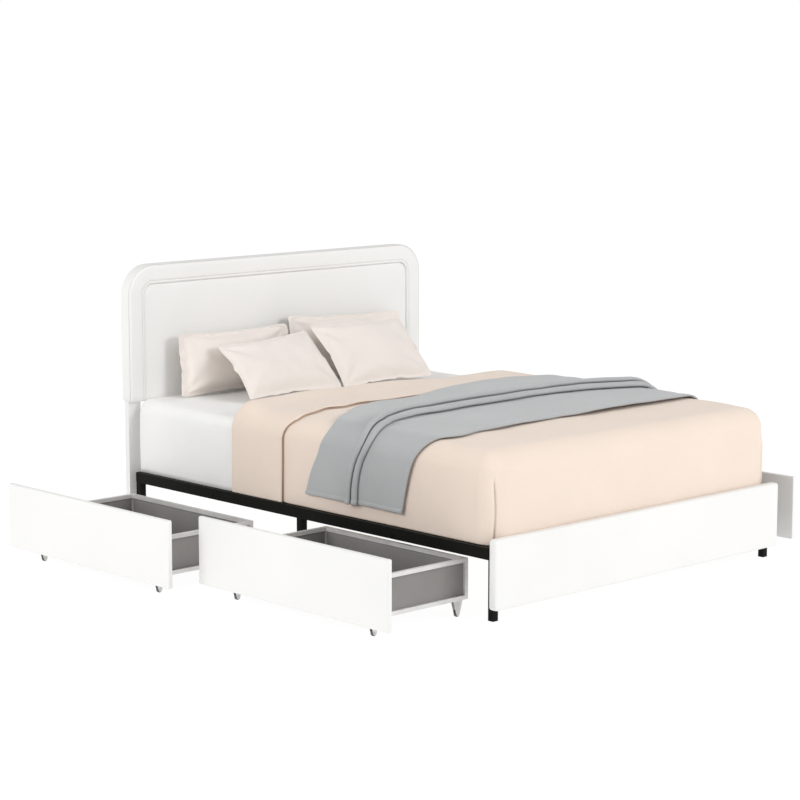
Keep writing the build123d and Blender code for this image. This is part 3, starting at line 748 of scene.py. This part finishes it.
def rolled(gone, depth, reach, power):
    """How far a rounded edge falls away, from the distance in from it."""
    bend = np.clip(1 - gone / reach, 0, 1)
    return depth * (1 - np.sqrt(np.maximum(1 - bend**power, 0)))


def foot_pleat(skin, normal, up, lo, hi, radius):
    """The folded corners at the foot: a flap on the foot's side, that ends at a bowed crease."""
    round_angle = np.degrees(np.arctan2(np.abs(normal[:, 0]), np.maximum(-normal[:, 1], 1e-6)))
    at_foot = (skin[:, 1] < lo.y + radius) & (up < 0.75)
    crease = 43.0 - 3.6 * np.sin(np.pi * np.clip((skin[:, 2] - lo.z) / 0.24, 0, 1))
    away = (round_angle - crease) * radius * math.pi / 180
    fade = smoothstep((hi.z - 0.09 - skin[:, 2]) / 0.07)
    flap = np.where(away > 0, 0.008 * np.exp(-away / 0.05), 0.0)
    return np.where(at_foot, (flap - 0.014 * np.exp(-((away / 0.0032) ** 2))) * fade, 0.0)


def duvet(cover):
    """A padded shell over the mattress, open below and at the head, where it is turned back."""
    lo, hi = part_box("duvet")
    mattress_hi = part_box("mattress")[1]
    lo.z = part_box("side_rail_left")[1].z + 0.0006
    top_thick = hi.z - mattress_hi.z - DUVET_CLEAR
    side_thick = hi.x - mattress_hi.x - DUVET_CLEAR
    turned = hi.y - TURN_FROM_HEAD
    lines = duvet_lines(lo, hi, cover.ROUND, turned)
    skin, normal, faces = box_skin(lo, hi, cover.ROUND, lines, skip=[(2, -1), (1, 1)])
    up = np.clip(normal[:, 2], 0, 1)
    thick = side_thick + (top_thick - side_thick) * up
    broad = ripple(skin * np.array((1, 1, 0.35)), 3.2, 0.006, 3.0)
    fine = ripple(skin * np.array((1, 1, 0.3)), 9.0, 0.0025, 4.0)
    layer, shift = turned_back(skin, up, turned)
    out = (broad + fine) * (0.5 + 0.5 * up) - 0.002 + layer
    # its rolled head edge, its bottom hem and its corners
    from_head, roll, hem = hi.y - skin[:, 1], thick * 0.98, 0.003
    out = out - rolled(from_head, roll, roll * 1.25, 3.2) - rolled(skin[:, 2] - lo.z, hem, hem, 2.4)
    out = out + foot_pleat(skin, normal, up, lo, hi, cover.ROUND)
    # it is fuller near its head, most of all on the left
    puff = 0.020 * np.exp(-(((from_head - 0.05) / 0.06) ** 2)) * smoothstep((0.45 - skin[:, 0]) / 0.5)
    outer = skin + normal * out[:, None]
    outer[:, 2] += (cover.crown(skin[:, 0], skin[:, 1]) + puff) * up
    outer[:, 1] += shift
    inner = skin - normal * thick[:, None]
    inner[:, 1] = np.minimum(inner[:, 1], hi.y - 0.001)
    verts, faces = shell(outer, inner, faces)
    obj = piece("duvet_quilt", verts, faces, "duvet_cloth", "bed", ["duvet"])


THROW_CLOTH = 0.006
THROW_RESTS = 0.0075  # the middle of its cloth, above the duvet
# where its edges and folds run: distance across over the duvet, from the near side to the far one, and
# distance along the bed
HEAD_EDGE = [
    (-1.05, -0.02), (-0.93, -0.06), (-0.84, -0.11), (-0.76, -0.14), (-0.66, -0.08), (-0.46, 0.04),
    (-0.24, 0.075), (-0.10, 0.085), (0.10, 0.145), (0.29, 0.175), (0.47, 0.17), (0.70, 0.10), (0.80, 0.02),
    (1.05, -0.08),
]
FOLD_HEAD = [
    (-1.05, -0.268), (-0.96, -0.272), (-0.86, -0.30), (-0.79, -0.335), (-0.73, -0.325), (-0.62, -0.265),
    (-0.49, -0.225), (-0.33, -0.208), (-0.08, -0.20), (0.18, -0.205), (0.40, -0.225), (0.60, -0.265),
    (0.71, -0.32), (0.80, -0.37), (1.05, -0.45),
]
FOLD_FOOT = [
    (-1.05, -0.325), (-0.96, -0.325), (-0.86, -0.352), (-0.79, -0.39), (-0.73, -0.395), (-0.64, -0.345),
    (-0.52, -0.312), (-0.27, -0.30), (0.0, -0.29), (0.30, -0.295), (0.48, -0.33), (0.62, -0.365),
    (0.71, -0.41), (0.80, -0.45), (1.05, -0.52),
]
FOOT_EDGE = [
    (-1.05, -0.555), (-0.93, -0.58), (-0.84, -0.611), (-0.77, -0.655), (-0.70, -0.69), (-0.50, -0.68),
    (-0.25, -0.67), (0.05, -0.668), (0.28, -0.668), (0.55, -0.67), (0.72, -0.665), (0.80, -0.66),
    (1.05, -0.66),
]
# the two folds, each lapping over its foot side: share of the way over the pair, and share of its height
TALL_FOLD = [
    (0.02, 0.0), (0.025, 0.25), (0.06, 0.60), (0.14, 0.88), (0.24, 1.0), (0.36, 0.99), (0.45, 0.93),
    (0.49, 0.86), (0.48, 0.80), (0.41, 0.73), (0.34, 0.62), (0.31, 0.45), (0.31, 0.25), (0.34, 0.10),
    (0.40, 0.04),
]
LOW_FOLD = [
    (0.47, 0.05), (0.50, 0.18), (0.53, 0.36), (0.59, 0.53), (0.68, 0.62), (0.80, 0.63), (0.91, 0.57),
    (0.99, 0.46), (1.02, 0.37), (0.99, 0.31), (0.90, 0.27), (0.80, 0.235), (0.73, 0.20), (0.70, 0.12),
    (0.73, 0.03), (0.80, 0.0),
]
# its stitched ends: distance in from the end, and how far the hem stands up
HEM = [
    (0.0, 0.0006), (0.0015, 0.0022), (0.004, 0.0028), (0.010, 0.0028), (0.013, 0.0022), (0.0145, 0.0002),
    (0.017, 0.0),
]


def spline(x, points):
    """Smooth curve through a few given points."""
    xs, ys = np.array(points, float).T
    slope = np.gradient(ys, xs)
    i = np.clip(np.searchsorted(xs, x) - 1, 0, len(xs) - 2)
    h = xs[i + 1] - xs[i]
    t = np.clip((x - xs[i]) / h, 0, 1)
    return (
        (2 * t**3 - 3 * t**2 + 1) * ys[i]
        + (t**3 - 2 * t**2 + t) * h * slope[i]
        + (-2 * t**3 + 3 * t**2) * ys[i + 1]
        + (t**3 - t**2) * h * slope[i + 1]
    )


def throw_columns():
    """Columns of the throw: which stretch they are in (head part, folds or foot part), their share of the
    way over it, a distance taken off that, and their share of the folds' height."""
    close = (0.0, 0.002, 0.006, 0.012)
    head_part = [(0, 0.0, d, 0.0) for d in close]
    head_part += [(0, share, 0.0, 0.0) for share in np.linspace(0.1, 1, 24)[:-1]]
    folds = [(1, share, 0.0, height) for share, height in TALL_FOLD + LOW_FOLD]
    foot_part = [(2, share, 0.0, 0.0) for share in np.linspace(0.0, 0.93, 26)[1:]]
    foot_part += [(2, 1.0, -d, 0.0) for d in reversed(close)]
    return head_part + folds + foot_part


def skin_normals(points, faces):
    """Smooth normals of a skin's points."""
    mesh = new_mesh("skin", points, faces)
    mesh.update()
    normals = np.zeros(len(points) * 3, np.float32)
    mesh.vertices.foreach_get("normal", normals)
    bpy.data.meshes.remove(mesh)
    return normals.reshape(-1, 3)


def throw(cover):
    """A knitted throw laid across the bed, with two folds gathered along its middle."""
    near = -cover.hem(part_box("throw")[0].z)
    ends, hem_heights = np.array(HEM).T
    between = np.linspace(near + 0.028, -near - 0.028, 180)
    across = np.concatenate((near + ends, between, -near - ends[::-1]))
    end_lift = np.interp(np.minimum(across - near, -near - across), ends, hem_heights)
    rise = end_lift + 0.006 * smoothstep((across + 0.3) / 0.8)
    runs = [spline(across, points) for points in (HEAD_EDGE, FOLD_HEAD, FOLD_FOOT, FOOT_EDGE)]
    head_edge, fold_head, fold_foot, foot_edge = runs
    # the folds are lower where they are drawn together
    fold_height = np.interp(np.abs(fold_head - fold_foot), (0.05, 0.085), (0.021, 0.039))
    columns = []
    for stretch, share, less, height in throw_columns():
        start, end = runs[stretch], runs[stretch + 1]
        y = start + (end - start) * share - less
        points = cover.at(across, y, 0.0)
        soft = ripple(points, 4.5, 0.004, 6.0) + ripple(points * np.array((1, 2.2, 1)), 9.0, 0.0018, 7.0)
        away = np.minimum(np.abs(y - head_edge), np.abs(y - foot_edge))
        edge_wave = ripple(points * np.array((2.0, 0.1, 2.0)), 6.0, 0.006, 8.0) * np.exp(-away / 0.03)
        lift = THROW_RESTS + rise + height * fold_height
        columns.append(cover.at(across, y + edge_wave, lift + np.maximum(soft, -0.004)))
    faces = grid_faces(len(columns), len(across))
    middle = np.vstack(columns)
    half = skin_normals(middle, faces) * THROW_CLOTH / 2
    verts, faces = shell(middle + half, middle - half, faces)
    obj = piece("throw_blanket", verts, faces, "throw_cloth", "bed", ["throw"])


# ---- pillows
PILLOW_GRID = (52, 34)
FLANGE_RINGS = 3
FLANGE_CLOTH = 0.0011  # half the flange's thickness
CUT_LARGER = 1.05  # the case is cut larger than it ends up, because filling draws it in
STRAIGHT = 0.6  # how much of its sides' straight cut a filled pillow keeps
CASE_STIFFNESS = 12.0
PILLOWS = {
    # node: seed, flange, flap at its short ends, skew, and its stand above the mattress
    "pillow_back_left": (31.0, 0.014, 0.035, 0.0, 0.002),
    "pillow_back_right": (32.0, 0.014, 0.035, -0.012, 0.002),
    "pillow_front_left": (33.0, 0.012, 0.012, 0.016, 0.006),
    "pillow_front_right": (34.0, 0.012, 0.012, 0.0, 0.006),
}


def pillow_frame(node):
    """Centre, size and the lean of a CAD pillow: the least rectangle round its side view."""
    points = np.array([v.co for v in frame["nodes"][node].data.vertices])
    lo, hi = points.min(0), points.max(0)
    best = None
    for degrees in range(20, 90):
        a = math.radians(degrees)
        up, out = np.array((0, math.cos(a), math.sin(a))), np.array((0, -math.sin(a), math.cos(a)))
        u, w = points @ up, points @ out
        area = (u.max() - u.min()) * (w.max() - w.min())
        if best is None or area < best[0]:
            best = (area, up, out, u.min(), u.max(), w.min(), w.max())
    _, up, out, u0, u1, w0, w1 = best
    middle = up * (u0 + u1) / 2 + out * (w0 + w1) / 2 + np.array(((lo[0] + hi[0]) / 2, 0, 0))
    return middle, up, out, (hi[0] - lo[0], u1 - u0, w1 - w0)


def simulate(obj, frames, pressure, pressed):
    """Runs cloth with pressure and no gravity and returns the settled points."""
    scene = bpy.context.scene
    cloth = obj.modifiers.new("Cloth", "CLOTH")
    s = cloth.settings
    s.quality = 5
    s.mass = 0.25
    s.tension_stiffness = s.compression_stiffness = CASE_STIFFNESS
    s.shear_stiffness = CASE_STIFFNESS * 0.4
    s.bending_stiffness = 0.6
    s.air_damping = 3.0
    s.use_pressure = True
    s.uniform_pressure_force = pressure
    s.vertex_group_pressure = pressed
    s.effector_weights.gravity = 0.0
    cloth.collision_settings.use_collision = False
    cloth.point_cache.frame_start, cloth.point_cache.frame_end = 1, frames
    for k in range(1, frames + 1):
        scene.frame_set(k)
    evaluated = obj.evaluated_get(bpy.context.evaluated_depsgraph_get())
    points = np.array([v.co for v in evaluated.data.vertices])
    obj.modifiers.remove(cloth)
    scene.frame_set(1)
    return points


def creases(x, y, wide, high, seed):
    """Soft folds that run in from the corners of a pillow, short puckers at its seams, slack between."""
    fold = np.zeros(len(x))
    for k, (sx, sy) in enumerate(((-1, -1), (1, -1), (1, 1), (-1, 1))):
        dx, dy = sx * wide / 2 - x, sy * high / 2 - y
        reach, angle = np.hypot(dx, dy), np.arctan2(np.abs(dy), np.abs(dx))
        turn = 9.0 + 2.0 * noise.noise(Vector((seed, k, 0.5)))
        wave = np.sin(angle * turn + 5.0 * noise.noise(Vector((seed, k, 2.5))) + reach * 9.0)
        fold += 0.0055 * wave * np.exp(-((reach / 0.17) ** 2)) * smoothstep(reach / 0.05)
    seam = np.minimum(wide / 2 - np.abs(x), high / 2 - np.abs(y))
    around = np.column_stack((x, y, np.full(len(x), seed)))
    pucker = ripple(around, 34.0, 0.0035, seed) * np.exp(-seam / 0.035)
    slack = ripple(around * np.array((1.0, 0.55, 1.0)), 7.0, 0.008, seed) + ripple(around, 16.0, 0.003, seed)
    return fold + pucker + slack * smoothstep(seam / 0.06)


def case_rim():
    """Places round the edge of a pillow's body, in order."""
    nu, nv = PILLOW_GRID
    rim = [(i, 0) for i in range(nu)] + [(nu, j) for j in range(nv)]
    return rim + [(i, nv) for i in range(nu, 0, -1)] + [(0, j) for j in range(nv, 0, -1)]


def sewn_case(wide, high, flange, flap, seed):
    """A case laid flat: two layers sewn together, and a flange of one layer round them. Gives its points
    and faces, how many of the points are the body's, and the number of each grid place's point."""
    nu, nv = PILLOW_GRID
    us, vs = np.linspace(-0.5, 0.5, nu + 1), np.linspace(-0.5, 0.5, nv + 1)
    verts, faces, index = [], [], {}

    def vertex(key, p):
        if key not in index:
            index[key] = len(verts)
            verts.append(p)
        return index[key]

    def body(i, j, layer):
        rim = i in (0, nu) or j in (0, nv)
        a, b = us[i], vs[j]
        bulge = 0.012 * math.cos(math.pi * a) * math.cos(math.pi * b) * layer
        x, y = a * wide, b * high
        jitter = 0.0008 * noise.noise(Vector((x * 30, y * 30, seed + layer)))
        return vertex((i, j, 0 if rim else layer), (x, y, 0.0 if rim else bulge + jitter))

    for layer in (1, -1):
        for i in range(nu):
            for j in range(nv):
                corners = ((i, j), (i + 1, j), (i + 1, j + 1), (i, j + 1))
                quad = tuple(body(*corner, layer) for corner in corners)
                faces.append(quad if layer > 0 else quad[::-1])
    count = len(verts)

    def flange_point(i, j, k):
        if k == 0:
            return body(i, j, 1)
        a, b = us[i] * wide, vs[j] * high
        dx = (-1 if i == 0 else 1 if i == nu else 0) * flap * k / FLANGE_RINGS
        dy = (-1 if j == 0 else 1 if j == nv else 0) * flange * k / FLANGE_RINGS
        ruffle = 0.0004 * noise.noise(Vector((a * 40, b * 40, seed)))
        return vertex((i, j, "flange", k), (a + dx, b + dy, ruffle))

    rim = case_rim()
    for p, q in zip(rim, rim[1:] + rim[:1]):
        for k in range(FLANGE_RINGS):
            corners = ((p, k), (q, k), (q, k + 1), (p, k + 1))
            faces.append(tuple(flange_point(*place, ring) for place, ring in corners))
    return np.array(verts), faces, count, index


def blown_up(verts, faces, count):
    """The case after its body has been filled, as cloth under pressure."""
    obj = new_object("pillow_sim", new_mesh("pillow_sim", verts, faces))
    obj.vertex_groups.new(name="body").add(list(range(count)), 1.0, "REPLACE")
    settled = simulate(obj, frames=22, pressure=1.6, pressed="body")
    bpy.data.objects.remove(obj)
    return settled


def kept_above(values, level, soft):
    """Values held above a level, bending softly where they meet it."""
    return level + np.logaddexp(0, (values - level) / soft) * soft


def two_faced(placed, faces, count, index, out):
    """Gives the flange's one layer two faces and an edge, so that the case is closed."""
    rim = case_rim()
    doubled = np.arange(len(placed)) >= count
    doubled[[index[(i, j, 0)] for i, j in rim]] = True
    verts, upper, lower = [], [], []
    for point, two in zip(placed, doubled):
        upper.append(len(verts))
        verts.append(point + out * FLANGE_CLOTH if two else point)
        if two:
            verts.append(point - out * FLANGE_CLOTH)
        lower.append(len(verts) - 1)
    layer = PILLOW_GRID[0] * PILLOW_GRID[1]
    made = [tuple(upper[v] for v in f) for f in faces[:layer]]
    made += [tuple(lower[v] for v in f) for f in faces[layer : 2 * layer]]
    for f in faces[2 * layer :]:
        made.append(tuple(upper[v] for v in reversed(f)))
        made.append(tuple(lower[v] for v in f))
    edge = [index[(i, j, "flange", FLANGE_RINGS)] for i, j in rim]
    for p, q in zip(edge, edge[1:] + edge[:1]):
        made.append((upper[p], lower[p], lower[q], upper[q]))
    return verts, made


def pillow(node, seed, flange, flap, skew, stand):
    """A pillow in a flanged case. Its body is blown up as cloth from a flat, sewn shape."""
    middle, up, out, (wide, high, thick) = pillow_frame(node)
    body_w, body_h = (wide - 2 * flange) * CUT_LARGER, (high - 2 * flange) * CUT_LARGER
    flat, faces, count, index = sewn_case(body_w, body_h, flange, flap, seed)
    settled = blown_up(flat, faces, count)
    # the filling pulls the sides in less than free cloth would let it
    drawn_in = settled[:, :2].max(0) / flat[:, :2].max(0)
    settled[:, :2] = settled[:, :2] * (1 - STRAIGHT) + flat[:, :2] * STRAIGHT * drawn_in
    # into the CAD pillow's space
    settled -= (settled.max(0) + settled.min(0)) / 2
    size = settled.max(0) - settled.min(0)
    settled = settled * (np.array((wide, high, thick)) / size)
    across, along = settled[:, 0] / wide * 2, settled[:, 1] / high * 2
    belly = np.sign(settled[:, 2]) * np.minimum(np.abs(settled[:, 2]) / (0.12 * thick), 1)
    settled[:, 2] += belly * creases(across * wide / 2, along * high / 2, wide, high, seed)
    # its lower edge lies on the bed, and its upper one is a little askew
    settled[:, 2] -= 0.30 * thick * np.clip((0.3 - along) / 1.3, 0, 1) ** 2
    settled[:, 1] += skew * across * (along + 1) / 2
    placed = middle + settled[:, :1] * np.array((1, 0, 0)) + settled[:, 1:2] * up + settled[:, 2:] * out
    # nothing of it is in the mattress or in the headboard
    placed[:, 2] = kept_above(placed[:, 2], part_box("mattress")[1].z + stand, 0.004)
    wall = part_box("headboard_panel")[0].y - 0.004
    placed[:, 1] = -kept_above(-placed[:, 1], -wall, 0.003)
    verts, faces = two_faced(placed, faces, count, index, out)
    obj = piece(f"{node}_cased", verts, faces, "pillow_cloth", "bed", [node])
    smooth = obj.modifiers.new("Subdivision", "SUBSURF")
    smooth.levels = smooth.render_levels = 1


# ---- build
studio()
floor(floor_paint())
paint_cad_nodes()
headboard()
headboard_dust_cloth()
footboard()
for count, drawer in enumerate(DRAWERS):
    drawer_front(drawer, 10.0 + count)
    drawer_liner(drawer, 20.0 + count)
mattress()
cover = Cover()
duvet(cover)
throw(cover)
for node, values in PILLOWS.items():
    pillow(node, *values)
